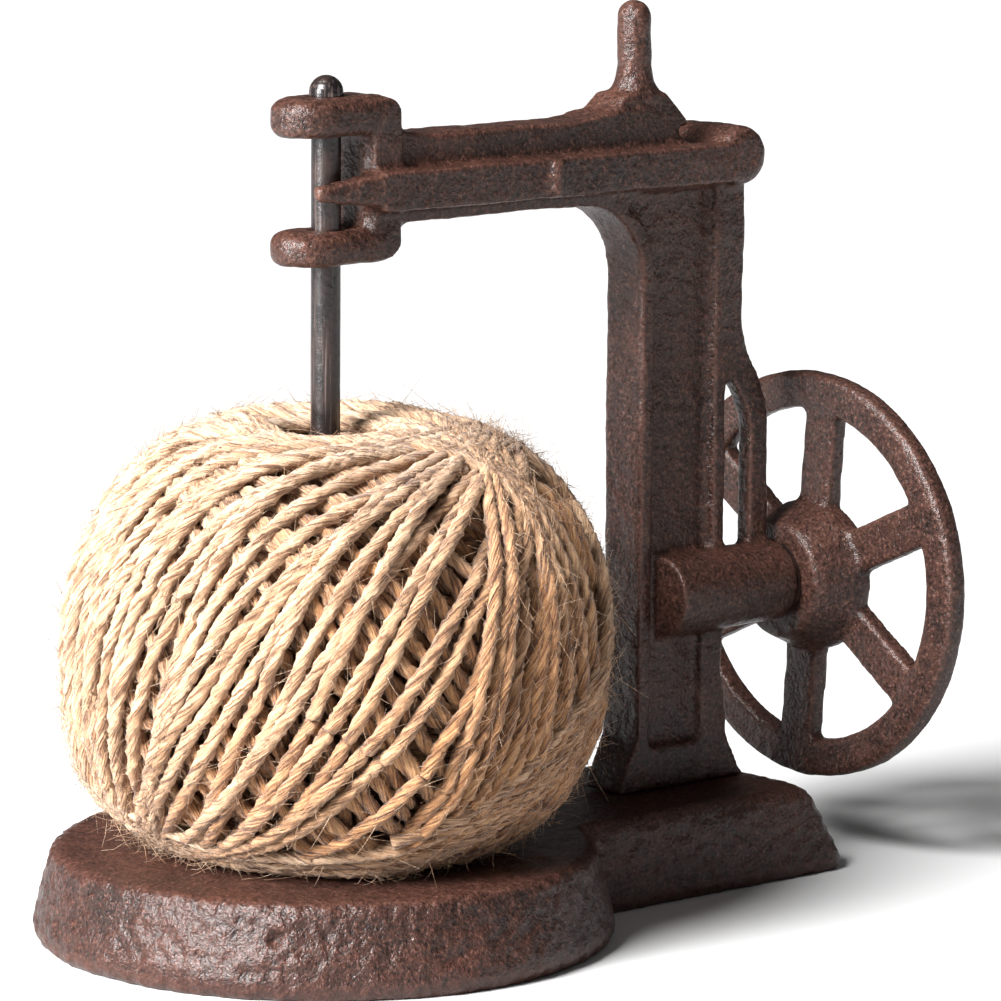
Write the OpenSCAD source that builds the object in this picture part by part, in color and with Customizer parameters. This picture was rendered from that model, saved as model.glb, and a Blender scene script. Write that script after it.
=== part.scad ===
// Twine holder in the shape of an old sewing machine, in cast iron.
// A ball of twine sits on the round table and turns on a lift-out needle bar.
// Lengths are millimetres. X runs along the arm towards the handwheel, Z is up,
// and the panelled face of the column looks along -Y.

/* [Base] */
// Radius of the round table at its widest
table_r = 51; // [50:0.5:54]
// Height of the table and of the foot
base_h = 16.5; // [15:0.5:20]
// How far the table's side leans in from bottom to top
table_lean = 3; // [2:0.5:4]
// Wall thickness of the hollow base casting
base_wall = 5; // [4:0.5:6]
// Half width of the foot at its top
foot_half_w = 20; // [17:0.5:24]
// Reach of the foot's end from the needle, at the top
foot_reach = 101; // [98:0.5:103]

/* [Column and arm] */
// Thickness of the column
column_t = 10; // [9:0.5:12]
// Distance from the needle to the column's inner face
throat = 70; // [66:1:74]
// Distance from the needle to the column's outer face below the strut
column_reach = 91; // [89:0.5:93]
// Height of the arm's ledge above the floor
ledge_z = 127.5; // [126:0.5:132]
// Height of the ledge's front face
ledge_h = 7.2; // [6:0.2:9]
// Overall width of the ledge
ledge_w = 18; // [16:0.5:20]
// Height of the arm's rounded top above the floor
arm_top = 140.6; // [139:0.2:142]
// Radius of the inside corner under the arm
corner_r = 14; // [10:1:18]

/* [Needle bar] */
// Radius of the needle bar
bar_r = 2.6; // [2:0.1:3]
// Radius of the needle bar's domed head
head_r = 3; // [3:0.1:4]
// Height that the head stands above the upper lug
head_h = 3.6; // [3.2:0.1:5]
// Height of the upper lug's top face
upper_lug_z = 147.6; // [146:0.2:150]
// Height of the lower lug's top face
lower_lug_z = 124.6; // [122:0.2:126]
// Thickness of each lug
lug_t = 6; // [5:0.2:7]
// Reach of the lugs beyond the needle
lug_reach = 10.5; // [10:0.5:12]
// Depth of the needle bar's seat below the table top
seat_depth = 8; // [6:0.5:10]

/* [Spool pin] */
// Radius of the spool pin
pin_r = 3; // [2.6:0.1:3.4]
// Overall height of the holder, at the tip of the spool pin
total_h = 160.8; // [158:0.1:166]
// Distance from the needle to the spool pin
pin_x = 71.7; // [70:0.1:74]

/* [Handwheel] */
// Radius of the handwheel
wheel_r = 38; // [35:0.5:38]
// Thickness of the handwheel's rim
wheel_t = 4.5; // [4:0.1:5.5]
// Width of the handwheel's rim
rim_w = 7; // [6:0.5:8]
// Number of spokes
spokes = 6; // [5:1:7]
// Width of a spoke
spoke_w = 8; // [6:0.5:9]
// Height of the handwheel's axle
axle_z = 52.3; // [50:0.1:56]
// Radius of the axle bolt's plain shank
axle_r = 3; // [2.5:0.1:3.5]

/* [Twine ball] */
// Radius of the ball of twine
ball_r = 47.9; // [44:0.1:49]
// Height of the ball's widest part above the floor
ball_mid = 49; // [46:0.5:52]
// Height from the ball's widest part to its top
ball_up = 44.5; // [40:0.5:46]
// Height that the ball would have below its widest part if it weren't flattened
ball_down = 37; // [34:0.5:40]
// Radius of the hole through the ball
ball_hole_r = 5; // [4:0.1:6]

/* [Hidden] */
$fn = 96;

// fits and small clearances
run_clear = 0.05;       // radial clearance of the wheel on its axle
slide_clear = 0.25;     // radial clearance of the needle bar in its lugs
soft_gap = 0.3;         // gap left between the twine and its neighbours
cut = 0.5;              // how far a cutting tool runs past a face
blend_fn = 32;          // facets of the rounded ends in blended shapes

// base
table_foot_r = table_r - 1.2;               // radius where the table meets the floor
table_bulge_z = 3;                          // height of the widest part of the table
table_edge_r = 1.8;                         // rounding of the table's top edge
table_top_r = table_r - table_lean;
foot_flare = 2;                             // how far the foot spreads from top to bottom
foot_end_flare = 7;                         // how far the foot's end leans out
foot_edge = 3;                              // bevel of the foot's top edges
foot_corner_r = 4;                          // rounding of the foot's corners in plan
plate_t = 5.5;                              // thickness of the base's top plate
seat_boss_r = 8;                            // boss around the needle bar's seat
screw_x = [throat + 4.5, column_reach - 5];  // the two screws that hold the column
screw_boss_r = 7;
screw_boss_z = 5.5;                         // underside of the screw bosses

// frame screws, M5 with pan heads
screw_r = 2.5;
screw_hole_r = 2.8;
screw_head_r = 4.6;
screw_head_h = 3;
screw_depth = 9;                            // how far a screw reaches into the column
washer_r = 5.2;
washer_t = 1;

// column
plinth_h = 3;                               // flared step at the foot of the column
plinth_flare = 4.5;
panel_depth = 1.2;                          // the panel sunk in the column's front and back
rim_left = 3;                               // raised rim beside the throat
groove_x = [throat + 15.5, throat + 18.2];  // groove beside the outer rim
groove_depth = 2;
outer_rim_x = throat + 25;                  // outer edge of the column above the strut
strut_x = [throat + 27.2, throat + 31.8];   // the strut's two sides
strut_y = -3.2;                             // and its middle
strut_z = axle_z + 6;                       // foot of the strut, inside the sleeve
strut_knee = 82;                            // where the strut turns straight down
strut_top = 102;
strut_half_w = 1.8;
web_z = 125;                                // underside of the arm's web
bead_r = 5.5;                               // rolled end of the arm
bead_edge_r = 2.2;                          // rounding of its two ends
bead_x = throat + 21.8;
bead_z = 132.1;
bump_x = 45;
rib_half_w = 4.8;                           // half width of the arm's top rib
lug_half_w = 6.5;
arm_start = 10;                             // where the arm meets the fork
horn_y = 6.6;                               // the horn beside the needle bar
horn_tip = -7.6;
horn_mid_z = 131.4;
fork_x = [6.5, 12.4];                       // the block that joins the two lugs
fork_corner_r = 3.2;                        // rounding of the block's outer corners

// spool pin and its boss
boss_z = 144.4;
boss_top_x = [-5.6, 4];                     // the boss's ends at its top, from the pin
boss_foot_x = [-11.5, 9.8];                 // and at its foot
boss_half_w = [4.2, 4.6];                   // its half widths at top and foot

// sleeve and handwheel
axle_y = -column_t / 2 + 0.5;               // the axle lies in the column's front face
sleeve_r = 7.5;
sleeve_x = [throat + 5, 103.5];
thrust_t = 0.8;                             // thrust washer between sleeve and hub
thrust_r = 7;
hub_x = sleeve_x[1] + thrust_t + 0.1;
hub_r = [11, 14.2];
wheel_x = 112;                              // near face of the rim
spoke_t = 4;
wheel_turn = 5;                             // how far the first spoke leans from the vertical
wheel_end = wheel_x + wheel_t;
outer_washer_t = 1;
outer_washer_r = 7;
axle_head_r = 5.5;
axle_head_h = 3.2;
axle_thread = 16;                           // how far the bolt reaches into the sleeve
far_x = wheel_end + outer_washer_t + 0.1 + axle_head_h;

// the whole model is centred along X
needle_x = (table_r - far_x) / 2;

// needle bar
bar_tip_z = base_h - seat_depth + 0.3;
bar_top = upper_lug_z;

// twine ball: it rests a little off the needle bar's axis
ball_z0 = base_h + soft_gap;
ball_shift = [1.3, -1.2];
ball_squareness = 0.65;                     // 1 is an ellipse, less is fuller
ball_dimple = 3;                            // depth of the dimple round the hole

// ---- shared shapes ----

// a bar along X with a half-round end towards -X
module lug_plan(reach, back, half_w) {
    translate([-reach + half_w, 0]) circle(r = half_w);
    translate([-reach + half_w, -half_w]) square([reach - half_w + back, 2 * half_w]);
}

module along_x(x, y = 0, z = 0) {
    translate([x, y, z]) rotate([0, 90, 0]) children();
}

// ---- base casting ----

module table_solid() {
    rotate_extrude()
        polygon(concat(
            [[0, 0], [table_foot_r, 0]],
            [for (a = [-60 : 15 : 30])
                [table_r - 1.2 + 1.2 * cos(a), table_bulge_z + 2.2 * sin(a)]],
            [for (a = [15 : 15 : 90])
                [table_top_r - table_edge_r + table_edge_r * cos(a),
                 base_h - table_edge_r + table_edge_r * sin(a)]],
            [[0, base_h]]));
}

module foot_layer(z, t, grow, end_grow) {
    length = foot_reach + end_grow;
    translate([0, 0, z]) linear_extrude(t)
        hull() {
            for (side = [-1, 1])
                translate([length - foot_corner_r, side * (foot_half_w + grow - foot_corner_r)])
                    circle(r = foot_corner_r, $fn = blend_fn);
            translate([0, -foot_half_w - grow]) square([1, 2 * (foot_half_w + grow)]);
        }
}

module foot_solid() {
    hull() {
        foot_layer(0, 0.1, foot_flare - 0.6, foot_end_flare - 0.6);
        foot_layer(2, 0.1, foot_flare, foot_end_flare);
        foot_layer(base_h - foot_edge, 0.1, 0.3, 1);
        foot_layer(base_h - foot_edge / 3, 0.1, -0.4, -1);
        foot_layer(base_h - 0.1, 0.1, -1.4, -foot_edge);
    }
}

module base_hollow() {
    inner_h = base_h - plate_t;
    translate([0, 0, -cut]) cylinder(r = table_foot_r - base_wall, h = inner_h + cut);
    translate([0, -foot_half_w + base_wall - 1, -cut])
        cube([foot_reach - base_wall, 2 * (foot_half_w - base_wall + 1), inner_h + cut]);
}

module base_casting() {
    color("#4a3a36") translate([needle_x, 0, 0])
        difference() {
            union() {
                difference() {
                    union() {
                        table_solid();
                        foot_solid();
                    }
                    base_hollow();
                }
                translate([0, 0, 2]) cylinder(r = seat_boss_r, h = base_h - plate_t);
                for (x = screw_x)
                    translate([x, 0, screw_boss_z])
                        cylinder(r = screw_boss_r, h = base_h - plate_t - screw_boss_z + 1);
            }
            translate([0, 0, base_h - seat_depth])
                cylinder(r = bar_r + slide_clear, h = seat_depth + cut);
            for (x = screw_x)
                translate([x, 0, 0]) cylinder(r = screw_hole_r, h = base_h + cut);
        }
}

// ---- frame casting ----

module column_outline() {
    polygon(concat(
        [[throat - plinth_flare, base_h], [throat - plinth_flare + 1, base_h + plinth_h],
         [throat, base_h + 10]],
        [for (a = [0 : 10 : 90])
            [throat - corner_r + corner_r * cos(a), web_z - corner_r + corner_r * sin(a)]],
        [[arm_start, web_z], [arm_start, ledge_z + ledge_h - 0.6], [bead_x, ledge_z + ledge_h - 0.6],
         [outer_rim_x, bead_z], [outer_rim_x, strut_top], [column_reach, strut_knee + 8],
         [column_reach, base_h + 22], [column_reach + 1.5, base_h + 8],
         [column_reach + plinth_flare, base_h + plinth_h - 1],
         [column_reach + plinth_flare + 1.5, base_h]]));
}

module panel_outline() {
    inset = rim_left;
    polygon(concat(
        [[throat + inset, base_h + 8]],
        [for (a = [0 : 15 : 60])
            [throat + inset - corner_r + corner_r * cos(a), 112 + corner_r * sin(a)]],
        [[throat, ledge_z - 1], [groove_x[0], ledge_z - 1], [groove_x[0], base_h + 8]]));
}

module column() {
    difference() {
        translate([0, column_t / 2, 0]) rotate([90, 0, 0])
            linear_extrude(column_t) column_outline();
        for (side = [-1, 1]) {
            translate([0, side * (column_t / 2 - panel_depth / 2) + panel_depth, 0])
                rotate([90, 0, 0]) linear_extrude(panel_depth * 2) panel_outline();
            translate([groove_x[0] - 0.2, side * column_t / 2 - groove_depth, base_h + 30])
                cube([groove_x[1] - groove_x[0], 2 * groove_depth, ledge_z - base_h - 31]);
        }
    }
}

module ledge() {
    translate([arm_start - 4, -ledge_w / 2, ledge_z]) cube([bead_x - arm_start + 4, ledge_w, ledge_h]);
    arm_bead();
}

module arm_bead() {
    translate([bead_x, ledge_w / 2, bead_z]) rotate([90, 0, 0])
        rotate_extrude()
            polygon(concat(
                [[0, 0]],
                [for (a = [-90 : 22.5 : 0])
                    [bead_r + bead_edge_r * (cos(a) - 1), bead_edge_r * (1 + sin(a))]],
                [for (a = [0 : 22.5 : 90])
                    [bead_r + bead_edge_r * (cos(a) - 1), ledge_w + bead_edge_r * (sin(a) - 1)]],
                [[0, ledge_w]]));
}

module rib() {
    translate([0, rib_half_w, 0]) rotate([90, 0, 0])
        linear_extrude(2 * rib_half_w)
            polygon([[arm_start - 2, ledge_z], [arm_start - 2, arm_top + 3], [13, arm_top + 0.5],
                     [20, arm_top - 0.3], [54, arm_top - 0.3], [62, arm_top + 0.8],
                     [pin_x, arm_top + 0.8], [pin_x + boss_foot_x[1], ledge_z + ledge_h],
                     [pin_x + boss_foot_x[1], ledge_z]]);
    // small round boss on the front of the ledge
    translate([bump_x, -ledge_w / 2, ledge_z + 0.5]) cylinder(r = 1.6, h = ledge_h - 1);
}

// A lug, fullest below its middle: each layer is [inset, depth cut off the top, and off the bottom].
module lug(z, t) {
    for (layer = [[2.2, 0, 0.3], [1.1, 0.5, 0], [0.4, 1.1, 0.5], [0, 1.8, 1.1]])
        translate([0, 0, z - t + layer[2]])
            linear_extrude(t - layer[1] - layer[2])
                lug_plan(lug_reach - layer[0], arm_start - 1, lug_half_w - layer[0]);
}

module fork() {
    lug(upper_lug_z, lug_t + 0.8);
    lug(lower_lug_z, lug_t);
    // block that joins the lugs behind the needle bar, and the web behind it
    half_w = lug_half_w - 0.4;
    hull() {
        for (z = [lower_lug_z - lug_t + 0.5 + fork_corner_r, upper_lug_z - 0.4 - fork_corner_r])
            translate([fork_x[1] - fork_corner_r, half_w, z]) rotate([90, 0, 0])
                cylinder(r = fork_corner_r, h = 2 * half_w, $fn = blend_fn);
        translate([fork_x[0], -half_w, lower_lug_z - lug_t + 0.5])
            cube([1, 2 * half_w, upper_lug_z - lower_lug_z + lug_t - 0.9]);
    }
    translate([fork_x[0] - 1, -4, lower_lug_z - 1])
        cube([8.5, 8, upper_lug_z - lower_lug_z - lug_t + 2]);
    // the ledge's front half runs on past the needle bar as a short tapered horn
    hull() {
        translate([horn_tip, -horn_y - 1, horn_mid_z - 1.1]) cube([1, 2.2, 2.4]);
        translate([arm_start - 3.5, -ledge_w / 2, ledge_z + 1]) cube([1, 5.6, ledge_h - 1.4]);
    }
}

module spool_pin() {
    hull() {
        translate([pin_x + boss_foot_x[0], -boss_half_w[1], arm_top - 3])
            cube([boss_foot_x[1] - boss_foot_x[0], 2 * boss_half_w[1], 1]);
        translate([pin_x + boss_top_x[0], -boss_half_w[0], boss_z - 1])
            cube([boss_top_x[1] - boss_top_x[0], 2 * boss_half_w[0], 1]);
    }
    translate([pin_x, 0, boss_z - 1])
        rotate_extrude()
            polygon(concat(
                [[0, 0], [pin_r + 1.6, 0], [pin_r + 0.4, 3.5], [pin_r, 6]],
                [for (a = [0 : 15 : 90])
                    [pin_r * cos(a), total_h - boss_z + 1 - pin_r + pin_r * sin(a)]]));
}

// The strut leaves the column's outer rim in an S and runs down to the sleeve.
module strut() {
    s_curve = [for (a = [-90 : 15 : 90]) [(1 + sin(a)) / 2, a / 180 + 0.5]];
    drop = strut_top - strut_knee;
    translate([0, strut_y + strut_half_w, 0]) rotate([90, 0, 0])
        linear_extrude(2 * strut_half_w)
            polygon(concat(
                [for (p = s_curve)
                    [outer_rim_x + p[0] * (strut_x[1] - outer_rim_x), strut_top - p[1] * drop]],
                [[strut_x[1], strut_z]],
                [[strut_x[0], strut_z]],
                [for (p = [[0, 0], [-0.5, 3], [-2, 6], [-4.2, 9]])
                    [strut_x[0] + p[0], strut_knee - 1 + p[1]]],
                [[column_reach - 1, strut_knee + 9], [column_reach - 1, strut_top]]));
}

module sleeve() {
    along_x(sleeve_x[0], axle_y, axle_z) cylinder(r = sleeve_r, h = sleeve_x[1] - sleeve_x[0]);
}

module frame_casting() {
    color("#4a3a36") translate([needle_x, 0, 0])
        difference() {
            union() {
                column();
                ledge();
                rib();
                fork();
                spool_pin();
                strut();
                sleeve();
            }
            translate([0, 0, lower_lug_z - lug_t - cut])
                cylinder(r = bar_r + slide_clear, h = upper_lug_z - lower_lug_z + lug_t + 2 * cut);
            for (x = screw_x)
                translate([x, 0, base_h - cut]) cylinder(r = screw_r, h = screw_depth + cut);
            along_x(sleeve_x[1] - axle_thread, axle_y, axle_z)
                cylinder(r = axle_r, h = axle_thread + cut);
        }
}

// ---- fasteners ----

module frame_screws() {
    color("#8c8c8c") translate([needle_x, 0, 0])
        for (x = screw_x)
            translate([x, 0, screw_boss_z - washer_t]) {
                cylinder(r = screw_r, h = base_h - screw_boss_z + washer_t + screw_depth - 0.5);
                difference() {
                    translate([0, 0, -screw_head_h]) cylinder(r = screw_head_r, h = screw_head_h);
                    translate([-screw_head_r, -0.6, -screw_head_h - cut])
                        cube([2 * screw_head_r, 1.2, 1.2 + cut]);
                }
            }
}

module frame_screw_washers() {
    color("#a0a0a0") translate([needle_x, 0, 0])
        for (x = screw_x)
            translate([x, 0, screw_boss_z - washer_t])
                difference() {
                    cylinder(r = washer_r, h = washer_t);
                    translate([0, 0, -cut]) cylinder(r = screw_hole_r, h = washer_t + 2 * cut);
                }
}

// ---- needle bar ----

module needle_bar() {
    color("#2c2626") translate([needle_x, 0, 0])
        rotate_extrude()
            polygon(concat(
                [[0, bar_tip_z], [bar_r - 0.8, bar_tip_z], [bar_r, bar_tip_z + 1.2], [bar_r, bar_top],
                 [head_r, bar_top]],
                [for (a = [0 : 15 : 90])
                    [head_r * cos(a), bar_top + head_h - head_r + head_r * sin(a)]]));
}

// ---- twine ball ----

function ball_radius(z) =
    let (half = z > ball_mid ? ball_up : ball_down, sine = (z - ball_mid) / half)
    ball_r * pow(1 - sine * sine, ball_squareness / 2);

module twine_ball() {
    levels = [for (a = [-90 : 9 : 81]) ball_mid + (a < 0 ? ball_down : ball_up) * sin(a)];
    top = ball_mid + ball_up;
    color("#c9a26b") translate([needle_x, 0, 0])
        difference() {
            translate([ball_shift[0], ball_shift[1], 0])
                rotate_extrude()
                    polygon(concat(
                        [[0, ball_z0], [ball_radius(ball_z0), ball_z0]],
                        [for (z = levels) if (z > ball_z0 + 1) [ball_radius(z), z]],
                        [[0, top]]));
            translate([0, 0, ball_z0 - cut]) cylinder(r = ball_hole_r, h = top - ball_z0 + 2 * cut);
            translate([0, 0, top - ball_dimple])
                cylinder(r1 = ball_hole_r - 0.1, r2 = 2 * ball_hole_r, h = ball_dimple + cut);
        }
}

// ---- handwheel ----

// cross-section of the rim, with rounded corners
module rim_section() {
    corner = 1.2;
    for (r = [wheel_r - rim_w + corner, wheel_r - corner])
        for (z = [corner, wheel_t - corner])
            translate([r, z]) circle(r = corner);
    translate([wheel_r - rim_w + corner, 0]) square([rim_w - 2 * corner, wheel_t]);
    translate([wheel_r - rim_w, corner]) square([rim_w, wheel_t - 2 * corner]);
}

module hub() {
    rotate_extrude()
        polygon([[axle_r + run_clear, hub_x], [hub_r[0] - 0.8, hub_x], [hub_r[0], hub_x + 0.8],
                 [hub_r[1], wheel_x + 0.5], [hub_r[1], wheel_x + spoke_t - 0.5],
                 [hub_r[0], wheel_end], [axle_r + run_clear, wheel_end]]);
}

module handwheel() {
    color("#5a423a") translate([needle_x, 0, 0])
        along_x(0, axle_y, axle_z) {
            translate([0, 0, wheel_x]) rotate_extrude() rim_section();
            hub();
            for (i = [0 : spokes - 1])
                rotate(90 + wheel_turn + i * 360 / spokes)
                    translate([-spoke_w / 2, hub_r[1] - 3, wheel_x + 0.4])
                        cube([spoke_w, wheel_r - rim_w - hub_r[1] + 5, spoke_t - 0.3]);
        }
}

module wheel_axle() {
    head_x = wheel_end + 0.1 + outer_washer_t;
    color("#6e6a66") translate([needle_x, 0, 0])
        along_x(0, axle_y, axle_z) {
            translate([0, 0, sleeve_x[1] - axle_thread + 0.5])
                cylinder(r = axle_r, h = head_x - sleeve_x[1] + axle_thread);
            difference() {
                translate([0, 0, head_x]) cylinder(r = axle_head_r, h = axle_head_h);
                translate([-axle_head_r, -0.7, head_x + axle_head_h - 1.4])
                    cube([2 * axle_head_r, 1.4, 1.4 + cut]);
            }
        }
}

module washer_on_axle(x, r, t) {
    translate([needle_x, 0, 0])
        along_x(x, axle_y, axle_z)
            difference() {
                cylinder(r = r, h = t);
                translate([0, 0, -cut]) cylinder(r = axle_r + run_clear, h = t + 2 * cut);
            }
}

module wheel_washer() {
    color("#a0a0a0") washer_on_axle(wheel_end + 0.1, outer_washer_r, outer_washer_t);
}

module thrust_washer() {
    color("#a0a0a0") washer_on_axle(sleeve_x[1], thrust_r, thrust_t);
}

base_casting();
frame_casting();
frame_screws();
frame_screw_washers();
needle_bar();
twine_ball();
handwheel();
wheel_axle();
wheel_washer();
thrust_washer();
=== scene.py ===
"""A cast-iron twine holder in the shape of an old sewing machine, with its ball of jute twine.

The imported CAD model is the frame. The castings are copies of CAD nodes with the rounded edges and rough skin
of a sand casting. The ball is wound here, turn by turn, over the outline of the CAD ball.
"""

from math import cos, pi, radians, sin

import bmesh
import bpy
import numpy as np
from mathutils import Matrix, Vector, noise


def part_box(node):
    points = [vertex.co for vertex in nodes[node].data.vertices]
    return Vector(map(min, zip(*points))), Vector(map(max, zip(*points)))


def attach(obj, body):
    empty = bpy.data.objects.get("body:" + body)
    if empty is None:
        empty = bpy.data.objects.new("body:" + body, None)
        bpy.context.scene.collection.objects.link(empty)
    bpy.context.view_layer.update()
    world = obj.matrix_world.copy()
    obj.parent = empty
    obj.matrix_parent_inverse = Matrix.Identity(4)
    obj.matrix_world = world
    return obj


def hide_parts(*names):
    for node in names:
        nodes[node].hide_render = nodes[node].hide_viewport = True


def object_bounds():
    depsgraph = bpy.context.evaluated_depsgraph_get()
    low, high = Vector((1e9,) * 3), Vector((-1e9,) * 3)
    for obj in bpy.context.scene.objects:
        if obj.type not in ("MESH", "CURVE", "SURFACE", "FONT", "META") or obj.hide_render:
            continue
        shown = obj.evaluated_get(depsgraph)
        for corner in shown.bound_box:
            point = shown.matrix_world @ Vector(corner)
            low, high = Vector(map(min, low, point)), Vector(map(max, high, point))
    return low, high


MM = 0.001

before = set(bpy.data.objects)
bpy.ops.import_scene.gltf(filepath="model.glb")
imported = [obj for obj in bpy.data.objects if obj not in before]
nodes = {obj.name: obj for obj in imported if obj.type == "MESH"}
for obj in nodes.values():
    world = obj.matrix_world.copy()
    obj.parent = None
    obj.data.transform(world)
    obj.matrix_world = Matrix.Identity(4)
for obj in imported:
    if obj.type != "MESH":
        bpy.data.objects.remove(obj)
cad_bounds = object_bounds()
scene = bpy.context.scene

# ---- where things are, all from the frame ----

needle_low, needle_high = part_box("needle_bar")
needle = Vector(((needle_low.x + needle_high.x) / 2, (needle_low.y + needle_high.y) / 2, 0))
ball_low, ball_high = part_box("twine_ball")
wheel_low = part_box("handwheel")[0]
base_low, base_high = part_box("base_casting")
table_r = (base_high.y - base_low.y) / 2
washer_low, washer_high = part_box("thrust_washer")
axle_y = (washer_low.y + washer_high.y) / 2
axle_z = (washer_low.z + washer_high.z) / 2

# ---- camera ----

CAMERA_AZIMUTH = radians(-41.3)
CAMERA_ELEVATION = radians(9.3)
CAMERA_ROLL = radians(0.44)
CAMERA_DISTANCE = 1.0545
AIM_RIGHT = 31.05 * MM      # the aim point, seen from the needle's foot
AIM_UP = 76.1 * MM
SENSOR = 36
FOCAL = SENSOR * 5.994      # a long lens, about 9.5 degrees across


def direction(azimuth, elevation):
    """The way to a place in the sky. Azimuth is measured from the front, towards +X, and both are radians."""
    return Vector((sin(azimuth) * cos(elevation), -cos(azimuth) * cos(elevation), sin(elevation)))


to_camera = direction(CAMERA_AZIMUTH, CAMERA_ELEVATION)
level_right = Vector((cos(CAMERA_AZIMUTH), sin(CAMERA_AZIMUTH), 0))
level_up = to_camera.cross(level_right)
level_front = Vector((sin(CAMERA_AZIMUTH), -cos(CAMERA_AZIMUTH), 0))    # level, towards the camera
view_right = cos(CAMERA_ROLL) * level_right + sin(CAMERA_ROLL) * level_up
view_up = -sin(CAMERA_ROLL) * level_right + cos(CAMERA_ROLL) * level_up


def make_camera():
    camera = bpy.data.objects.new("camera", bpy.data.cameras.new("camera"))
    camera.data.sensor_width = SENSOR
    camera.data.lens = FOCAL
    camera.data.clip_start = 0.05
    camera.data.clip_end = 30
    place = needle + view_right * AIM_RIGHT + view_up * AIM_UP + to_camera * CAMERA_DISTANCE
    turn = Matrix((view_right, view_up, to_camera)).transposed()
    camera.matrix_world = Matrix.Translation(place) @ turn.to_4x4()
    scene.collection.objects.link(camera)
    scene.camera = camera


# ---- lights and floor ----

WORLD_STRENGTH = 0.09
FLOOR_HALF_WIDTH = 14


def softbox(name, azimuth, elevation, distance, size, power):
    """A square area light that looks at the middle of the object. The angles are degrees."""
    target = (cad_bounds[0] + cad_bounds[1]) / 2
    away = direction(radians(azimuth), radians(elevation))
    light = bpy.data.objects.new(name, bpy.data.lights.new(name, "AREA"))
    light.data.shape = "SQUARE"
    light.data.size = size
    light.data.energy = power
    light.location = target + away * distance
    light.rotation_euler = away.to_track_quat("Z", "Y").to_euler()
    scene.collection.objects.link(light)


def window_light(name, azimuth, elevation, spread, strength):
    """An even light from far off, as wide in the sky as spread. The angles are degrees."""
    away = direction(radians(azimuth), radians(elevation))
    light = bpy.data.objects.new(name, bpy.data.lights.new(name, "SUN"))
    light.data.angle = radians(spread)
    light.data.energy = strength
    light.rotation_euler = away.to_track_quat("Z", "Y").to_euler()
    scene.collection.objects.link(light)


def light_the_scene():
    world = bpy.data.worlds.new("studio")
    world.use_nodes = True
    world.node_tree.nodes["Background"].inputs["Color"].default_value = (1, 1, 1, 1)
    world.node_tree.nodes["Background"].inputs["Strength"].default_value = WORLD_STRENGTH
    scene.world = world
    scene.view_settings.view_transform = "Standard"
    window_light("key_light", azimuth=-86, elevation=40, spread=26, strength=9.5)
    softbox("low_left", azimuth=-92, elevation=16, distance=0.9, size=0.35, power=15)
    softbox("front_fill", azimuth=-15, elevation=45, distance=1.6, size=0.9, power=1)


def make_floor():
    far = FLOOR_HALF_WIDTH
    mesh = bpy.data.meshes.new("floor")
    corners = [(-far, -far, 0), (far, -far, 0), (far, far, 0), (-far, far, 0)]
    mesh.from_pydata(corners, [], [(0, 1, 2, 3)])
    floor = bpy.data.objects.new("floor", mesh)
    scene.collection.objects.link(floor)
    skin = Shader("floor_paint")
    grain = skin.noise(skin.object_coordinates(), scale=3, detail=2)
    skin.set("Base Color", skin.ramp(grain, (0.3, (0.54, 0.54, 0.54)), (0.7, (0.56, 0.56, 0.56))))
    skin.set("Roughness", 0.9)
    skin.set("Specular IOR Level", 0.1)
    mesh.materials.append(skin.material)


# ---- materials ----

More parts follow.
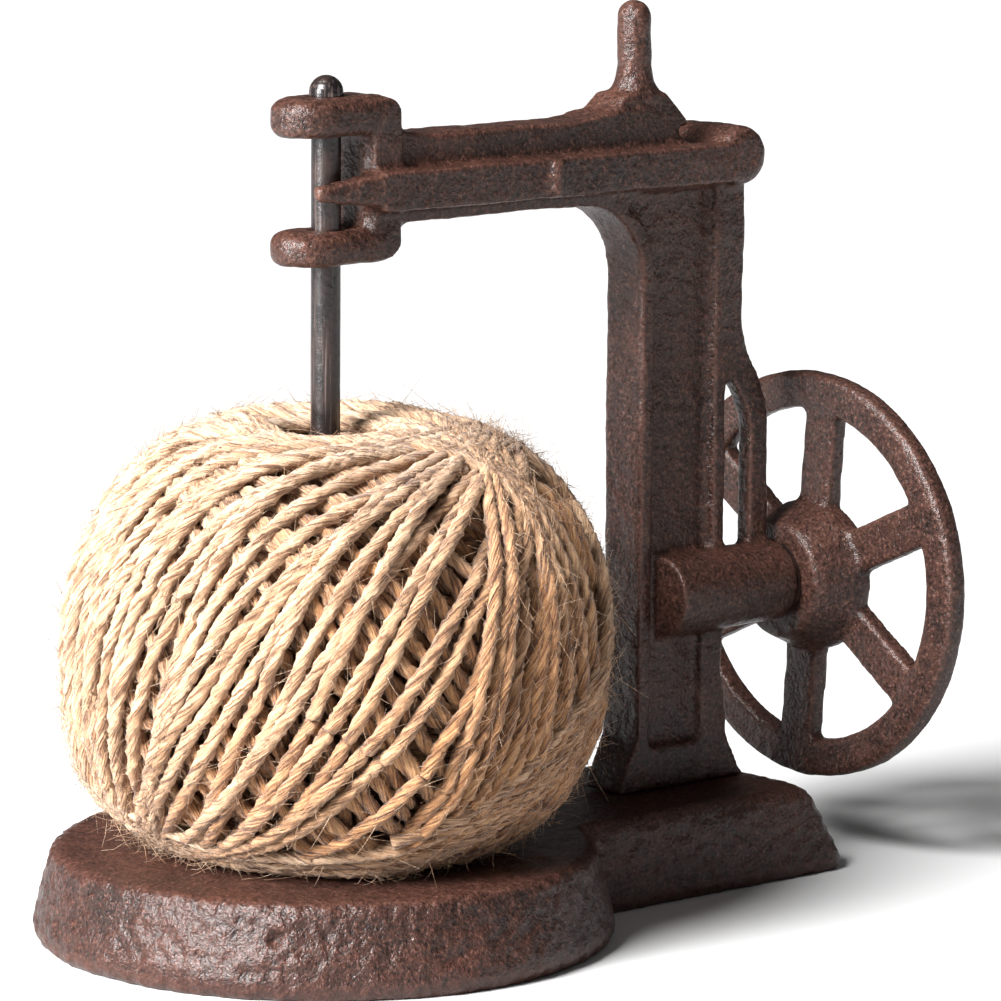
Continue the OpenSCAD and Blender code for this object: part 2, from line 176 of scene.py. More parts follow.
class Shader:
    """A procedural material, built node by node."""

    def __init__(self, name):
        self.material = bpy.data.materials.new(name)
        self.material.use_nodes = True
        self.tree = self.material.node_tree
        self.surface = self.tree.nodes["Principled BSDF"]

    def node(self, kind, settings=None, **sockets):
        made = self.tree.nodes.new("ShaderNode" + kind)
        for name, value in (settings or {}).items():
            setattr(made, name, value)
        for name, value in sockets.items():
            self.join(made.inputs[name.replace("_", " ")], value)
        return made

    def join(self, socket, value):
        if isinstance(value, bpy.types.NodeSocket):
            self.tree.links.new(value, socket)
        else:
            socket.default_value = value

    def set(self, name, value):
        self.join(self.surface.inputs[name], value)

    def object_coordinates(self):
        return self.node("TexCoord").outputs["Object"]

    def stretched(self, vector, factors):
        made = self.tree.nodes.new("ShaderNodeVectorMath")
        made.operation = "MULTIPLY"
        self.tree.links.new(vector, made.inputs[0])
        made.inputs[1].default_value = factors
        return made.outputs[0]

    def attribute(self, name, output="Fac"):
        return self.node("Attribute", {"attribute_name": name}).outputs[output]

    def noise(self, vector, scale, detail=4.0, roughness=0.5):
        made = self.node("TexNoise", None, Vector=vector, Scale=scale, Detail=detail, Roughness=roughness)
        return made.outputs["Fac"]

    def z_of(self, vector):
        made = self.tree.nodes.new("ShaderNodeSeparateXYZ")
        self.tree.links.new(vector, made.inputs[0])
        return made.outputs["Z"]

    def math(self, operation, first, second=0.0):
        made = self.tree.nodes.new("ShaderNodeMath")
        made.operation = operation
        self.join(made.inputs[0], first)
        self.join(made.inputs[1], second)
        return made.outputs[0]

    def scaled(self, value, low, high, to_low=0.0, to_high=1.0):
        """value with low brought to to_low and high to to_high, and held between them."""
        made = self.node("MapRange", None, Value=value, From_Min=low, From_Max=high,
                         To_Min=to_low, To_Max=to_high)
        return made.outputs["Result"]

    def ramp(self, value, *stops):
        """A colour ramp: each stop is (place, colour)."""
        made = self.tree.nodes.new("ShaderNodeValToRGB")
        self.tree.links.new(value, made.inputs["Fac"])
        elements = made.color_ramp.elements
        while len(elements) < len(stops):
            elements.new(0.5)
        for element, (place, colour) in zip(elements, stops):
            element.position = place
            element.color = (*colour, 1)
        return made.outputs["Color"]

    def mix(self, amount, first, second):
        made = self.tree.nodes.new("ShaderNodeMix")
        made.data_type = "RGBA"
        self.join(made.inputs[0], amount)
        for socket, value in ((made.inputs[6], first), (made.inputs[7], second)):
            self.join(socket, value if isinstance(value, bpy.types.NodeSocket) else (*value, 1))
        return made.outputs[2]

    def bump(self, height, distance, strength=1.0, below=None):
        made = self.tree.nodes.new("ShaderNodeBump")
        self.join(made.inputs["Height"], height)
        self.join(made.inputs["Distance"], distance)
        self.join(made.inputs["Strength"], strength)
        if below is not None:
            self.tree.links.new(below, made.inputs["Normal"])
        return made.outputs["Normal"]


def iron_material(name, dark, rust, gloss, ground_band=0.0):
    """Old cast iron: dark brown with a film of rust, rough as sand and a little glossy on its high spots.

    gloss sets how dull its shiniest spots are. ground_band is the height of a streaked band above the floor.
    """
    skin = Shader(name)
    place = skin.object_coordinates()
    coarse = skin.attribute("coarse")
    patches = skin.noise(place, scale=55, detail=3)
    mottle = skin.noise(place, scale=330, detail=5, roughness=0.6)
    grain = skin.noise(place, scale=1500, detail=3, roughness=0.6)
    lighter = tuple(min(1.0, c * 1.9 + 0.012) for c in rust)
    # the colour of the painted shade in the sand grain's hollows
    pit_shade_colour = tuple(c * 0.4 for c in dark)

    # rust gathers in patches, on the grain and on faces that look up
    upward = skin.scaled(skin.z_of(skin.node("TexCoord").outputs["Normal"]), 0.3, 1.0)
    amount = skin.math("ADD", skin.math("MULTIPLY", patches, 0.45), skin.math("MULTIPLY", mottle, 0.45))
    amount = skin.math("ADD", amount, skin.math("MULTIPLY", grain, 0.30))
    amount = skin.math("ADD", amount, skin.math("MULTIPLY", upward, 0.10))
    colour = skin.mix(skin.scaled(amount, 0.42, 0.82), dark, rust)

    # painted glints on the grain's raised spots, painted shade in its hollows, and worn edges
    painted_glints = skin.scaled(grain, 0.56, 0.68)
    colour = skin.mix(skin.math("MULTIPLY", painted_glints, 0.6), colour, lighter)
    painted_pit_shade = skin.scaled(grain, 0.46, 0.34)
    colour = skin.mix(skin.math("MULTIPLY", painted_pit_shade, 0.75), colour, pit_shade_colour)
    if ground_band:
        streaks = skin.noise(skin.stretched(place, (1, 1, 0.05)), scale=900, detail=2)
        low = skin.scaled(skin.z_of(place), ground_band, ground_band * 0.75)
        colour = skin.mix(skin.math("MULTIPLY", skin.math("MULTIPLY", low, streaks), 0.9), colour, rust)
    worn = skin.scaled(skin.node("NewGeometry").outputs["Pointiness"], 0.515, 0.57)
    colour = skin.mix(skin.math("MULTIPLY", worn, 0.45), colour, lighter)
    skin.set("Base Color", colour)

    # a dull body under a thin glossy film, which takes less of the sand's relief
    skin.set("Metallic", 0.0)
    skin.set("Roughness", skin.scaled(mottle, 0.35, 0.65, gloss + 0.2, gloss + 0.4))
    skin.set("Specular IOR Level", 0.08)
    skin.set("Coat Weight", 0.5)
    skin.set("Coat Roughness", 0.17)
    sand = skin.bump(grain, distance=0.5 * MM, strength=skin.scaled(coarse, 0, 1, 0.55, 1.0))
    skin.set("Normal", skin.bump(mottle, distance=0.9 * MM, strength=0.8, below=sand))
    film = skin.bump(grain, distance=0.22 * MM, strength=skin.scaled(coarse, 0, 1, 0.7, 1.0))
    skin.set("Coat Normal", skin.bump(mottle, distance=0.9 * MM, strength=0.8, below=film))
    return skin.material


def steel_material(name, colour, tint, gloss):
    """Plain steel with fine scratches and a few dull spots."""
    skin = Shader(name)
    place = skin.object_coordinates()
    spots = skin.noise(place, scale=420, detail=4)
    scratches = skin.noise(skin.stretched(place, (1, 1, 0.08)), scale=2600, detail=2)
    skin.set("Base Color", skin.mix(skin.scaled(spots, 0.4, 0.7), colour, tint))
    skin.set("Metallic", 0.85)
    skin.set("Roughness", skin.scaled(spots, 0.3, 0.7, gloss, gloss + 0.25))
    skin.set("Normal", skin.bump(scratches, distance=0.05 * MM, strength=0.5))
    return skin.material


def needle_material():
    """The needle bar: blackened steel with fine paler lines along its length, painted reflections that also
    give a fine relief.
    """
    skin = Shader("needle_steel")
    place = skin.object_coordinates()
    lines = skin.noise(skin.stretched(place, (1, 1, 0.03)), scale=1500, detail=3, roughness=0.6)
    patches = skin.noise(place, scale=160, detail=4)
    colour = skin.mix(skin.scaled(patches, 0.45, 0.7), (0.008, 0.006, 0.006), (0.030, 0.016, 0.013))
    # painted reflection: paler lines along the round bar
    colour = skin.mix(skin.scaled(lines, 0.56, 0.72), colour, (0.12, 0.085, 0.075))
    skin.set("Base Color", colour)
    skin.set("Metallic", 0.0)
    skin.set("Roughness", skin.scaled(patches, 0.3, 0.7, 0.20, 0.40))
    rough = skin.bump(skin.noise(place, scale=900, detail=3), distance=0.2 * MM, strength=0.6)
    skin.set("Normal", skin.bump(lines, distance=0.1 * MM, strength=0.5, below=rough))
    return skin.material


def jute_material(name, pale, brown):
    """Jute: light and dark fibres that run along the strand and turn with its twist.

    pale and brown are the dark, middle and light colours of pale and of brown jute; tone blends them, with
    painted light and shade in it.
    """
    skin = Shader(name)
    fibre = skin.attribute("fibre", "Vector")
    tone = skin.attribute("tone")
    fine = skin.noise(skin.stretched(fibre, (110, 2600, 2600)), scale=1, detail=3, roughness=0.65)
    tufts = skin.noise(skin.stretched(fibre, (160, 700, 700)), scale=1, detail=3)
    amount = skin.math("ADD", skin.math("MULTIPLY", fine, 0.62), skin.math("MULTIPLY", tufts, 0.38))
    # the pale end also stands for painted light, the brown end for painted shade
    pale_and_lit, brown_and_shaded = (skin.ramp(amount, *zip((0.41, 0.49, 0.60), colours)) for colours in (pale, brown))
    skin.set("Base Color", skin.mix(skin.scaled(tone, 0, 1), brown_and_shaded, pale_and_lit))
    skin.set("Roughness", 0.72)
    skin.set("Specular IOR Level", 0.3)
    skin.set("Sheen Weight", 0.25)
    skin.set("Normal", skin.bump(fine, distance=0.8 * MM, strength=1.0))
    return skin.material


# ---- castings ----

BORE_CLEAR_R = 4.2 * MM     # the skin stays smooth this near to the needle's and the axle's middle
AXLE_REACH = 30 * MM        # how far the axle's bore reaches back from the wheel
TABLE_SIDE_R = 46 * MM      # the round table's side lies outside this radius
PIT_ANGLE = -139            # degrees round the table
PIT_Z = 10.6 * MM
PIT_R = 1.1 * MM
PIT_DEPTH = 1.1 * MM
PIT_LIP = 0.45 * MM         # height of the raised lip round the pit
RIDGE_Z = 6.6 * MM
RIDGE_H = 0.7 * MM
RIDGE_HALF_LENGTH = 9 * MM


def link(name, mesh):
    made = bpy.data.objects.new(name, mesh)
    scene.collection.objects.link(made)
    return made


def remeshed(node, voxel, rounding):
    """A closed copy of a CAD node's mesh in even quads, with its edges rounded."""
    mesh = nodes[node].data.copy()
    work = bmesh.new()
    work.from_mesh(mesh)
    bmesh.ops.remove_doubles(work, verts=work.verts, dist=0.002 * MM)
    work.to_mesh(mesh)
    work.free()
    made = link("remesh_work", mesh)
    grid = made.modifiers.new("grid", "REMESH")
    grid.mode = "VOXEL"
    grid.voxel_size = voxel
    soft = made.modifiers.new("soft", "SMOOTH")
    soft.factor = 0.5
    soft.iterations = rounding
    done = bpy.data.meshes.new_from_object(made.evaluated_get(bpy.context.evaluated_depsgraph_get()))
    bpy.data.objects.remove(made)
    return done


def columns(collection, field):
    """The vectors that each item of a mesh's collection has in a field, one in each row."""
    values = np.empty(len(collection) * 3, np.float32)
    collection.foreach_get(field, values)
    return values.reshape(-1, 3).astype(float)


def rough_skin(points, size):
    """Smooth noise from -1 to 1 at each point, with bumps about size across."""
    return np.array([noise.noise(Vector(p)) for p in points / size])


def put_attribute(mesh, name, kind, values):
    mesh.attributes.new(name, kind, "POINT").data.foreach_set(
        "vector" if kind == "FLOAT_VECTOR" else "value", np.asarray(values, np.float32).ravel())


def radius_from_needle(at):
    return np.hypot(at[:, 0] - needle.x, at[:, 1] - needle.y)


def casting(node, body, material, voxel, rounding, wave, grain, coarse_at=None, flaws=None):
    """A sand-cast copy of a CAD node.

    wave and grain are the heights of its slow and fine unevenness. coarse_at says where the skin is coarser,
    and flaws adds single marks.
    """
    mesh = remeshed(node, voxel, rounding)
    at = columns(mesh.vertices, "co")
    out = columns(mesh.vertex_normals, "vector")
    coarse = np.full(len(at), 0.5) if coarse_at is None else coarse_at(at, out)
    radius_from_axle = np.hypot(at[:, 1] - axle_y, at[:, 2] - axle_z)
    in_axle_bore = (radius_from_axle < BORE_CLEAR_R) & (at[:, 0] > wheel_low.x - AXLE_REACH)
    in_bore = (radius_from_needle(at) < BORE_CLEAR_R) | in_axle_bore
    height = wave * (rough_skin(at, 14 * MM) + 0.6 * rough_skin(at, 5 * MM))
    height += grain * (0.5 + coarse) * (rough_skin(at, 1.9 * MM) + 0.6 * rough_skin(at + 7, 1.2 * MM))
    height[in_bore] = 0
    if flaws is not None:
        height += flaws(at, out)
    at += out * height[:, None]
    at[:, 2] = np.maximum(at[:, 2], cad_bounds[0].z)
    mesh.vertices.foreach_set("co", at.astype(np.float32).ravel())
    put_attribute(mesh, "coarse", "FLOAT", coarse)
    mesh.shade_smooth()
    mesh.materials.clear()
    mesh.materials.append(material)
    piece = link("cast_" + node, mesh)
    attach(piece, body)
    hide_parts(node)
    return piece


def table_side(at, out):
    """1 on the rough side of the round table, and little elsewhere."""
    side = (radius_from_needle(at) > TABLE_SIDE_R) & (out[:, 2] < 0.75) & (out[:, 2] > -0.6)
    return np.where(side, 1.0, 0.25)


def table_flaws(at, out):
    """The marks of the casting on the table's side: one small pit, and a low ragged ridge below it."""
    angle = np.degrees(np.arctan2(at[:, 1] - needle.y, at[:, 0] - needle.x))
    along = np.radians(angle - PIT_ANGLE) * table_r
    beside = np.hypot(along, at[:, 2] - PIT_Z)
    pit = -PIT_DEPTH * np.exp(-(beside / PIT_R) ** 2)
    pit += PIT_LIP * np.exp(-((beside - 2 * PIT_R) / (0.8 * MM)) ** 2)
    ragged = rough_skin(at * (1, 1, 0.4), 2.2 * MM)
    ridge = RIDGE_H * np.exp(-((at[:, 2] - RIDGE_Z - 0.8 * MM * ragged) / (0.8 * MM)) ** 2)
    ridge *= np.exp(-((along - 3 * MM) / RIDGE_HALF_LENGTH) ** 4) * np.clip(0.6 + ragged, 0, 1)
    return np.where((radius_from_needle(at) > TABLE_SIDE_R) & (out[:, 2] < 0.75), pit + ridge, 0)


def make_castings():
    dark = (0.012, 0.007, 0.006)
    iron = iron_material("cast_iron", dark, rust=(0.070, 0.029, 0.020), gloss=0.27)
    base_iron = iron_material("base_iron", dark, rust=(0.066, 0.026, 0.018), gloss=0.24, ground_band=3.2 * MM)
    wheel_iron = iron_material("wheel_iron", (0.013, 0.0075, 0.0065), rust=(0.072, 0.031, 0.022), gloss=0.32)
    casting("base_casting", "stand", base_iron, voxel=0.75 * MM, rounding=5, wave=0.22 * MM, grain=0.24 * MM,
            coarse_at=table_side, flaws=table_flaws)
    casting("frame_casting", "stand", iron, voxel=0.6 * MM, rounding=7, wave=0.24 * MM, grain=0.10 * MM)
    casting("handwheel", "wheel", wheel_iron, voxel=0.6 * MM, rounding=5, wave=0.16 * MM, grain=0.07 * MM)


def finish_small_parts():
    """The turned parts keep their CAD shape and get their own finish."""
    dark_steel = steel_material("dark_steel", (0.045, 0.034, 0.030), (0.11, 0.06, 0.045), gloss=0.32)
    zinc = steel_material("zinc_steel", (0.42, 0.41, 0.39), (0.24, 0.22, 0.20), gloss=0.28)
    finishes = {
        "needle_bar": needle_material(),
        "wheel_axle": dark_steel,
        "thrust_washer": dark_steel,
        "wheel_washer": dark_steel,
        "frame_screws": zinc,
        "frame_screw_washers": zinc,
    }
    for node, material in finishes.items():
        mesh = nodes[node].data
        mesh.materials.clear()
        mesh.materials.append(material)


# ---- ball of twine ----

BALL_SQUARENESS = 0.65                  # 1 is an ellipse, less is fuller
STRAND_R = 1.3 * MM
PRESS = 0.78                            # how round a strand stays where it is pressed
SQUEEZE = 1.0 * MM                      # how far strands pile up before they press into each other
UNEVEN = 0.25 * MM                      # how much a turn lies higher or lower than its neighbours
PROUDEST = 1.5 * MM                     # the most that a strand stands over the even surface
SUNK = 0.85 * STRAND_R                  # depth of a strand's middle inside the ball's outline
PLY_PITCH = 8.5 * MM                    # length of one turn of the strand's twist
WANDER = 0.35 * MM                      # how far a strand strays to its side
THICKENING = 0.14                       # how much its thickness changes, as a share
LUMPS = 0.11                            # and how much it changes from point to point
FIBRE_TURN = 0.45                       # how far the fibres follow the twist of the strand
PAINTED_LIGHT_AMOUNT = 0.55                        # how much paler the twine is painted towards the light, and browner away: painted light and shade
FIRST_INSET = 6.5 * MM                  # depth of the core under the ball's surface
CORE_HOLE_R = 5.2 * MM
FACE_CELLS = 120                        # the height grid has this many cells along a cube face
STEPS = 720                             # points along one turn while it is laid
MESH_STEP = 2                           # a strand's mesh has a ring at every second point
TURNS_PER_PIECE = 22                    # keeps the pieces' meshes small
FUZZ_COUNT = 7000                       # loose fibres in one piece
TOP_DIMPLE = 4.2 * MM                   # how deep the twine sinks round the needle
TOP_DIMPLE_R = 11 * MM
TOP_SLOPE = 3.0 * MM                    # how much lower the top's front edge lies than its middle
NEEDLE_GAP = 4.6 * MM                   # how near a strand comes to the needle's axis

ball_points = columns(nodes["twine_ball"].data.vertices, "co")
ball_x = (ball_low.x + ball_high.x) / 2
ball_y = (ball_low.y + ball_high.y) / 2
ball_r = (ball_high.x - ball_low.x) / 2
widest = np.hypot(ball_points[:, 0] - ball_x, ball_points[:, 1] - ball_y) > ball_r - 0.02 * MM
ball_mid = float(ball_points[widest, 2].mean())
ball_up = ball_high.z - ball_mid
ball_down = 37 * MM                     # the ball's depth below its middle, if it weren't flattened
ball_centre = np.array((ball_x, ball_y, ball_mid))


def unit(rows):
    return rows / np.linalg.norm(rows, axis=-1, keepdims=True)


def on_ball(directions, inset=0.0):
    """Points on the ball's outline, in the given directions from its middle."""
    z = directions[..., 2]
    across = np.sqrt(np.maximum(1 - z * z, 1e-9))
    radius = ball_r * across ** BALL_SQUARENESS
    surface = np.empty_like(directions)
    surface[..., 0] = directions[..., 0] / across * radius
    surface[..., 1] = directions[..., 1] / across * radius
    surface[..., 2] = z * np.where(z > 0, ball_up, ball_down)
    return ball_centre + surface - unit(surface) * np.asarray(inset)[..., None]


def smoothed(values, reach):
    """Values along a line, averaged over about reach steps."""
    kernel = np.exp(-0.5 * (np.arange(-3 * reach, 3 * reach + 1) / reach) ** 2)
    padded = np.pad(values, 3 * reach, mode="edge")
    return np.convolve(padded, kernel / kernel.sum(), mode="valid")


def cell_of(directions):
    """The cell of a cube-shaped grid round the ball that each direction falls in."""
    size = np.abs(directions)
    axis = size.argmax(-1)
    chosen = np.take_along_axis(directions, axis[..., None], -1)[..., 0]
    face = 2 * axis + (chosen > 0)
    index = [face]
    for step in (1, 2):
        other = np.take_along_axis(directions, ((axis + step) % 3)[..., None], -1)[..., 0]
        index.append(((other / np.abs(chosen) + 1) / 2 * FACE_CELLS).astype(int).clip(0, FACE_CELLS - 1))
    return (index[0] * FACE_CELLS + index[1]) * FACE_CELLS + index[2]


def winding(pole, front, angles, miss, seed):
    """The directions along one length of twine wound round and round past two poles.

    angles is where each turn crosses the middle, from front, in degrees. miss is the least and the most that
    the turns pass from a pole, in degrees.
    """
    rng = np.random.default_rng(seed)
    pole = unit(np.array(pole, float))
    front = np.array(front, float)
    front = unit(front - pole * (front @ pole))
    side = np.cross(pole, front)
    turns = len(angles) - 1
    whole = np.arange(turns + 1)
    t = np.linspace(0, turns, turns * STEPS + 1)
    where = np.radians(np.interp(t, whole, angles))
    missed = smoothed(np.interp(t, whole, rng.uniform(*miss, turns + 1)), STEPS // 6)
    miss = np.radians(missed)[:, None]
    towards = np.cos(where)[:, None] * front + np.sin(where)[:, None] * side
    sideways = -np.sin(where)[:, None] * front + np.cos(where)[:, None] * side
    rise = pole * np.cos(miss) - sideways * np.sin(miss)
    phase = (2 * pi * t)[:, None]
    return unit(np.cos(phase) * towards + np.sin(phase) * rise)


def lay(directions, tops, level, seed):
    """How high a strand's centre lies over the core as it is laid on the strands before it, which tops holds.

    Where many turns cross they press into each other, so a turn rises only a little over its layer's level.
    """
    rng = np.random.default_rng(seed)
    heights = []
    offsets = np.linspace(-1, 1, 9) * STRAND_R
    lift = PRESS * np.sqrt(STRAND_R ** 2 - offsets ** 2)
    for start in range(0, len(directions) - 1, STEPS):
        turn = directions[start:start + STEPS + 1]
        along = unit(np.gradient(turn, axis=0))
        across = np.cross(turn, along)
        cells = cell_of(unit(turn[:, None] + across[:, None] * offsets[:, None] / ball_r))
        height = (tops[cells] + lift).max(1)
        height = np.maximum(height, smoothed(height, 9))
        excess = np.maximum(height - level, 0)
        height = np.minimum(height, level) + SQUEEZE * np.log1p(excess / SQUEEZE)
        height = smoothed(height + rng.uniform(-1, 1) * UNEVEN, 5)
        np.maximum.at(tops, cells, height[:, None] + lift)
        heights.append(height[:-1])
    heights.append(height[-1:])
    return np.concatenate(heights)


def powers(directions, degree=6):
    """The terms of a smooth function of direction."""
    x, y, z = directions.T
    return np.stack([x ** i * y ** j * z ** k for i in range(degree + 1)
                     for j in range(degree + 1 - i) for k in range(degree + 1 - i - j)], 1)


def smooth_cover(tops):
    """The even surface that the wound ball has over its core, as weights for powers()."""
    rng = np.random.default_rng(3)
    directions = unit(rng.normal(size=(9000, 3)))
    return np.linalg.lstsq(powers(directions), tops[cell_of(directions)], rcond=None)[0]


def strand_line(directions, heights, cover):
    """The strand's centre line, with the whole ball brought to the outline of the CAD ball."""
    above = heights - powers(directions) @ cover
    above = np.where(above > 0, PROUDEST * np.tanh(above / PROUDEST), above)
    line = on_ball(directions, SUNK - above)
    return clear_of_neighbours(line)


def clear_of_neighbours(line):
    """Holds the strand off the needle, lets the top sink in, and flattens the ball where it rests."""
    away = line[:, :2] - np.array((needle.x, needle.y))
    distance = np.linalg.norm(away, axis=1, keepdims=True)
    line[:, :2] += away / np.maximum(distance, 1e-6) * (np.sqrt(distance ** 2 + NEEDLE_GAP ** 2) - distance)
    frontness = ((line - ball_centre) @ np.array(level_front)) / ball_r
    upper = np.clip((line[:, 2] - ball_mid) / ball_up, 0, 1) ** 2
    sink = TOP_DIMPLE * np.exp(-(distance[:, 0] / TOP_DIMPLE_R) ** 2)
    sink += TOP_SLOPE * np.clip(frontness, -0.4, 1)
    line[:, 2] -= upper * sink
    line[:, 2] = np.maximum(line[:, 2], ball_low.z + STRAND_R)
    return line


def noise_along(lengths, size, shift, row):
    """Smooth noise from -1 to 1 along a strand, with waves about size long."""
    return np.array([noise.noise(Vector((s / size, shift, row))) for s in lengths])


def strand_mesh(name, line, seed, sides, tone):
    """A two-ply strand along a line: a lobed tube that turns as it goes, a little uneven."""
    line = line[::MESH_STEP]
    lengths = np.concatenate([[0], np.cumsum(np.linalg.norm(np.diff(line, axis=0), axis=1))])
    rng = np.random.default_rng(seed)
    shift = rng.uniform(0, 50, 3)
    slow = noise_along(lengths, 7 * MM, shift[0], 0)
    drift = noise_along(lengths, 12 * MM, shift[1], 3)
    along = unit(np.gradient(line, axis=0))
    outward = unit(line - ball_centre)
    outward = unit(outward - along * (outward * along).sum(1, keepdims=True))
    across = np.cross(along, outward)
    line = line + across * (WANDER * drift)[:, None]
    twist = 2 * pi * lengths / PLY_PITCH + 0.8 * slow
    angle = np.linspace(0, 2 * pi, sides, endpoint=False)
    lobes = 0.80 + 0.21 * np.abs(np.cos(angle[None] - twist[:, None])) ** 1.3
    lumps = 1 + LUMPS * rng.standard_normal(lobes.shape)
    radius = STRAND_R * (1 + THICKENING * slow)[:, None] * lobes * lumps
    ring = (np.cos(angle)[None, :, None] * outward[:, None] + np.sin(angle)[None, :, None] * across[:, None])
    points = line[:, None] + ring * radius[..., None]
    points[..., 2] = np.maximum(points[..., 2], ball_low.z + 0.1 * MM)
    count = len(line)
    start = (np.arange(count - 1) * sides)[:, None]
    here = np.arange(sides)[None]
    after = (np.arange(sides)[None] + 1) % sides
    quads = np.stack([start + here, start + after, start + sides + after, start + sides + here], -1)
    faces = quads.reshape(-1, 4)[:, ::-1].tolist()
    faces.append(list(range(sides)))
    faces.append(list(range((count - 1) * sides, count * sides))[::-1])
    mesh = bpy.data.meshes.new(name)
    mesh.from_pydata(points.reshape(-1, 3).tolist(), [], faces)
    turned = angle[None] - FIBRE_TURN * twist[:, None]
    fibre = np.stack([np.broadcast_to(lengths[:, None], turned.shape) + seed,
                      STRAND_R * np.cos(turned), STRAND_R * np.sin(turned)], -1)
    put_attribute(mesh, "fibre", "FLOAT_VECTOR", fibre)
    shade = tone + 0.3 * noise_along(lengths, 50 * MM, shift[2], 9)
    # painted light and shade: paler towards the light's side of the view, browner away from it
    pale_and_lit = (line - ball_centre) @ np.array(painted_light_side) / ball_r
    put_attribute(mesh, "tone", "FLOAT", np.repeat(shade + PAINTED_LIGHT_AMOUNT * np.clip(pale_and_lit, -1, 1), sides))
    mesh.shade_smooth()
    return mesh


def ball_piece(name, mesh, material):
    mesh.materials.clear()
    mesh.materials.append(material)
    piece = link(name, mesh)
    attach(piece, "ball")
    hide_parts("twine_ball")
    return piece


def core_mesh():
    """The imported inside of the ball, with the hole that the needle bar goes through."""
    slopes = np.linspace(-pi / 2, pi / 2, 40)[1:-1]
    outline = on_ball(np.stack([np.cos(slopes), 0 * slopes, np.sin(slopes)], 1), FIRST_INSET) - ball_centre
    rows = [(max(x, CORE_HOLE_R), max(z + ball_mid, ball_low.z + 1 * MM)) for x, _, z in outline]
    rows = [(CORE_HOLE_R, rows[0][1])] + rows + [(CORE_HOLE_R, rows[-1][1])]
    work = bmesh.new()
    segments = 72
    rings = []
    for x, z in rows:
        rings.append([work.verts.new((ball_x + x * cos(2 * pi * k / segments),
                                      ball_y + x * sin(2 * pi * k / segments), z)) for k in range(segments)])
    for low, high in zip(rings, rings[1:] + rings[:1]):
        for k in range(segments):
            n = (k + 1) % segments
            work.faces.new((low[k], low[n], high[n], high[k]))
    bmesh.ops.remove_doubles(work, verts=work.verts, dist=0.01 * MM)
    bmesh.ops.recalc_face_normals(work, faces=work.faces)
    mesh = bpy.data.meshes.new("twine_core")
    work.to_mesh(mesh)
    work.free()
    at = columns(mesh.vertices, "co")
    put_attribute(mesh, "fibre", "FLOAT_VECTOR", at)
    put_attribute(mesh, "tone", "FLOAT", np.full(len(at), 0.1))
    mesh.shade_smooth()
    return mesh


def fuzz_mesh(lines, seed):
    """Loose fibres that stand off the strands. Each is a thin tapered tube, bent one way."""
    rng = np.random.default_rng(seed)
    count, rings, sides = FUZZ_COUNT, 5, 3
    line = np.concatenate(lines)
    pick = rng.integers(2, len(line) - 2, count)
    root = line[pick]
    along = unit(line[pick + 1] - line[pick - 1])
    outward = unit(root - ball_centre)
    across = np.cross(along, outward)
    lean = rng.uniform(-1, 1, (count, 1))
    start = unit(along * rng.choice([-1, 1], (count, 1)) * rng.uniform(0.6, 1.8, (count, 1))
                 + outward * rng.uniform(0.1, 0.75, (count, 1)) + across * lean)
    bend = unit(rng.normal(size=(count, 3))) * rng.uniform(0.2, 1.3, (count, 1))
    length = rng.gamma(2.6, 1.25, (count, 1)) * MM
    length = np.minimum(length, 8 * MM)
    root = root + outward * STRAND_R * 0.6
    s = np.linspace(0, 1, rings)[None, :, None]
    path = root[:, None] + (start[:, None] * s + bend[:, None] * 0.5 * s * s) * length[:, None]
    path[..., 2] = np.maximum(path[..., 2], ball_low.z + 0.1 * MM)
    tangent = unit(np.gradient(path, axis=1) + 1e-9)
    first = unit(np.cross(tangent, np.array((0.3, 0.5, 0.81))))
    second = np.cross(tangent, first)
    thick = rng.uniform(0.045, 0.08, (count, 1, 1)) * MM * (1 - 0.75 * s)
    angle = np.linspace(0, 2 * pi, sides, endpoint=False)
    points = np.stack([path + thick * (np.cos(a) * first + np.sin(a) * second) for a in angle], 2)
    base = (np.arange(count) * rings * sides)[:, None, None]
    level = (np.arange(rings - 1) * sides)[None, :, None]
    here = np.arange(sides)[None, None]
    after = (here + 1) % sides
    quads = np.stack([base + level + here, base + level + after,
                      base + level + sides + after, base + level + sides + here], -1).reshape(-1, 4)
    ends = np.concatenate([base[:, 0] + np.arange(sides)[None, ::-1],
                           base[:, 0] + (rings - 1) * sides + np.arange(sides)[None]])
    mesh = bpy.data.meshes.new("twine_fuzz")
    mesh.from_pydata(points.reshape(-1, 3).tolist(), [], quads.tolist() + ends.tolist())
    at = points.reshape(-1, 3)
    put_attribute(mesh, "fibre", "FLOAT_VECTOR", at)
    put_attribute(mesh, "tone", "FLOAT", np.repeat(rng.uniform(0.1, 0.9, count), rings * sides))
    mesh.shade_smooth()
    return mesh


def turn_angles(start, end, spacing, jitter, seed, gaps=()):
    """Where the turns of a layer cross the middle of the ball, with a few wider gaps."""
    rng = np.random.default_rng(seed)
    angles = [start]
    while angles[-1] < end:
        step = spacing * (1 + jitter * rng.uniform(-1, 1))
        for place, extra in gaps:
            if angles[-1] < place <= angles[-1] + step:
                step += extra
        angles.append(angles[-1] + step)
    return angles


# The ball is painted palest up and to the left of the view, where the light falls: painted light and shade
# across it.
painted_light_side = (Vector((0, 0, 0.75)) - level_right * 0.7).normalized()


def tilted(tilt, lean=0.0):
    """A direction across the view, tilt degrees above the right-hand side, leaning towards the viewer."""
    flat = cos(radians(tilt)) * level_right + sin(radians(tilt)) * Vector((0, 0, 1))
    return flat * cos(radians(lean)) + level_front * sin(radians(lean))


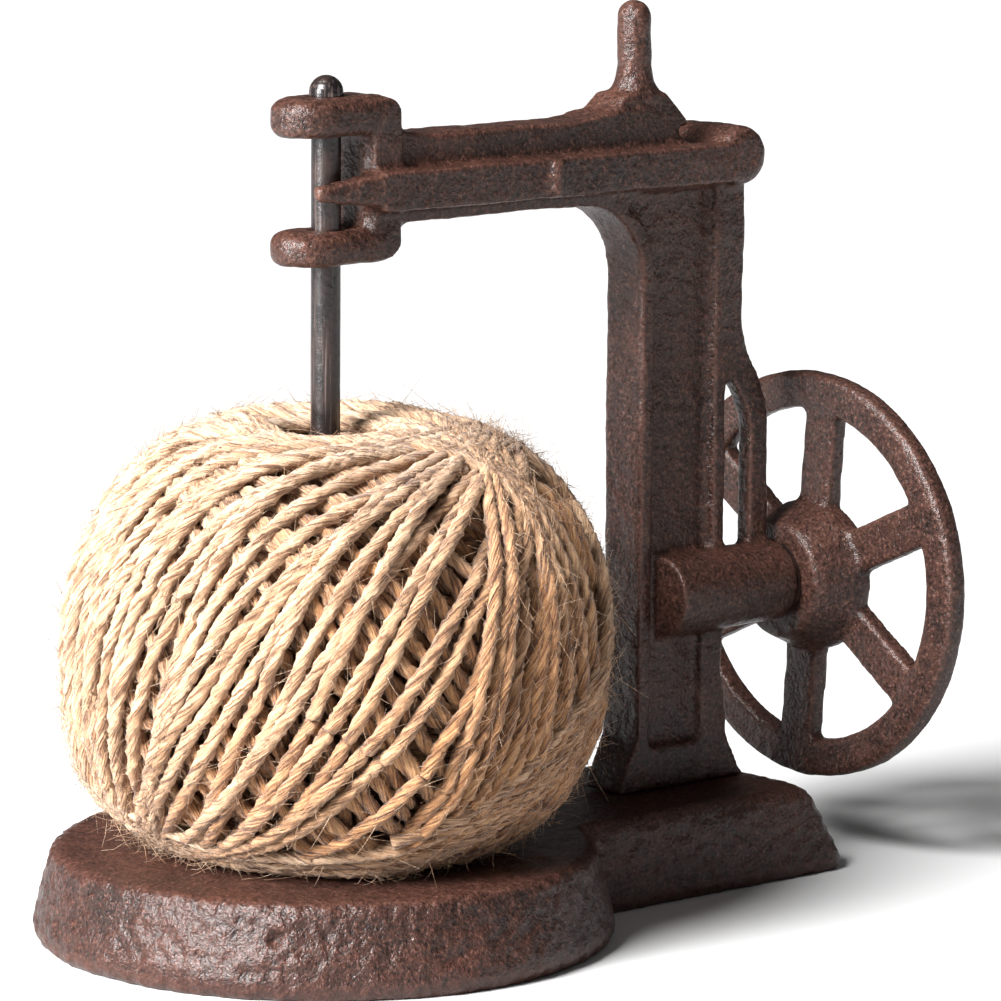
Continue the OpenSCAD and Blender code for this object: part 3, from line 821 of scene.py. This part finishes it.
def wind_ball():
    """Lays the twine layer by layer, then makes the strands, the core below them and the fibres on them."""
    outer_gaps = ((-12, 1.0), (4, 1.5), (20, 7.0), (30, 2.5))
    # name, pole, where the turns cross the front, how far they miss the pole, sides of the strand, tone (lower
    # beneath: fresher jute, and painted shade of the gaps)
    layers = [
        ("inner", tilted(80, 30), turn_angles(-90, 86, 5.2, 0.25, 1), (6, 34), 8, 0.05),
        ("under", tilted(106, -4), turn_angles(-90, 88, 4.8, 0.2, 2), (4, 24), 10, 0.0),
        ("outer", tilted(50, 2), turn_angles(-100, 84, 3.9, 0.28, 5, outer_gaps), (5, 22), 10, 0.26),
        ("last", tilted(17, 0), turn_angles(44, 60, 3.6, 0.15, 7), (2, 5), 10, 0.6),
    ]
    tops = np.zeros(6 * FACE_CELLS ** 2)
    laid = []
    for number, (name, pole, angles, miss, sides, tone) in enumerate(layers):
        directions = winding(pole, level_front, angles, miss, number)
        level = (2 * min(number, 2) + 1) * PRESS * STRAND_R
        laid.append((name, directions, lay(directions, tops, level, number), sides, tone))
    cover = smooth_cover(tops)

    pale = ((0.20, 0.10, 0.050), (0.53, 0.355, 0.220), (0.76, 0.60, 0.44))
    brown = ((0.085, 0.030, 0.010), (0.32, 0.140, 0.052), (0.54, 0.290, 0.130))
    shaded = tuple(tuple(c * 0.8 for c in colour) for colour in brown)
    jute = jute_material("jute", pale, brown)
    ball_piece("twine_core", core_mesh(), jute_material("jute_deep", brown, shaded))
    outside = []
    for number, (name, directions, heights, sides, tone) in enumerate(laid):
        line = strand_line(directions, heights, cover)
        if name != "inner":
            outside.append(line[::MESH_STEP])
        parts = -(-len(line) // (TURNS_PER_PIECE * STEPS))
        cuts = np.linspace(0, (len(line) - 1) // MESH_STEP, parts + 1).astype(int) * MESH_STEP
        for part, (low, high) in enumerate(zip(cuts, cuts[1:]), start=1):
            mesh = strand_mesh(f"twine_{name}_{part}", line[low:high + 1], number * 10 + part, sides, tone)
            ball_piece(mesh.name, mesh, jute)
    fibre = jute_material("jute_fibre", pale, brown)
    for part, seed in enumerate((11, 12, 13), start=1):
        ball_piece(f"twine_fuzz_{part}", fuzz_mesh(outside, seed), fibre)


make_camera()
light_the_scene()
make_floor()
make_castings()
finish_small_parts()
wind_ball()
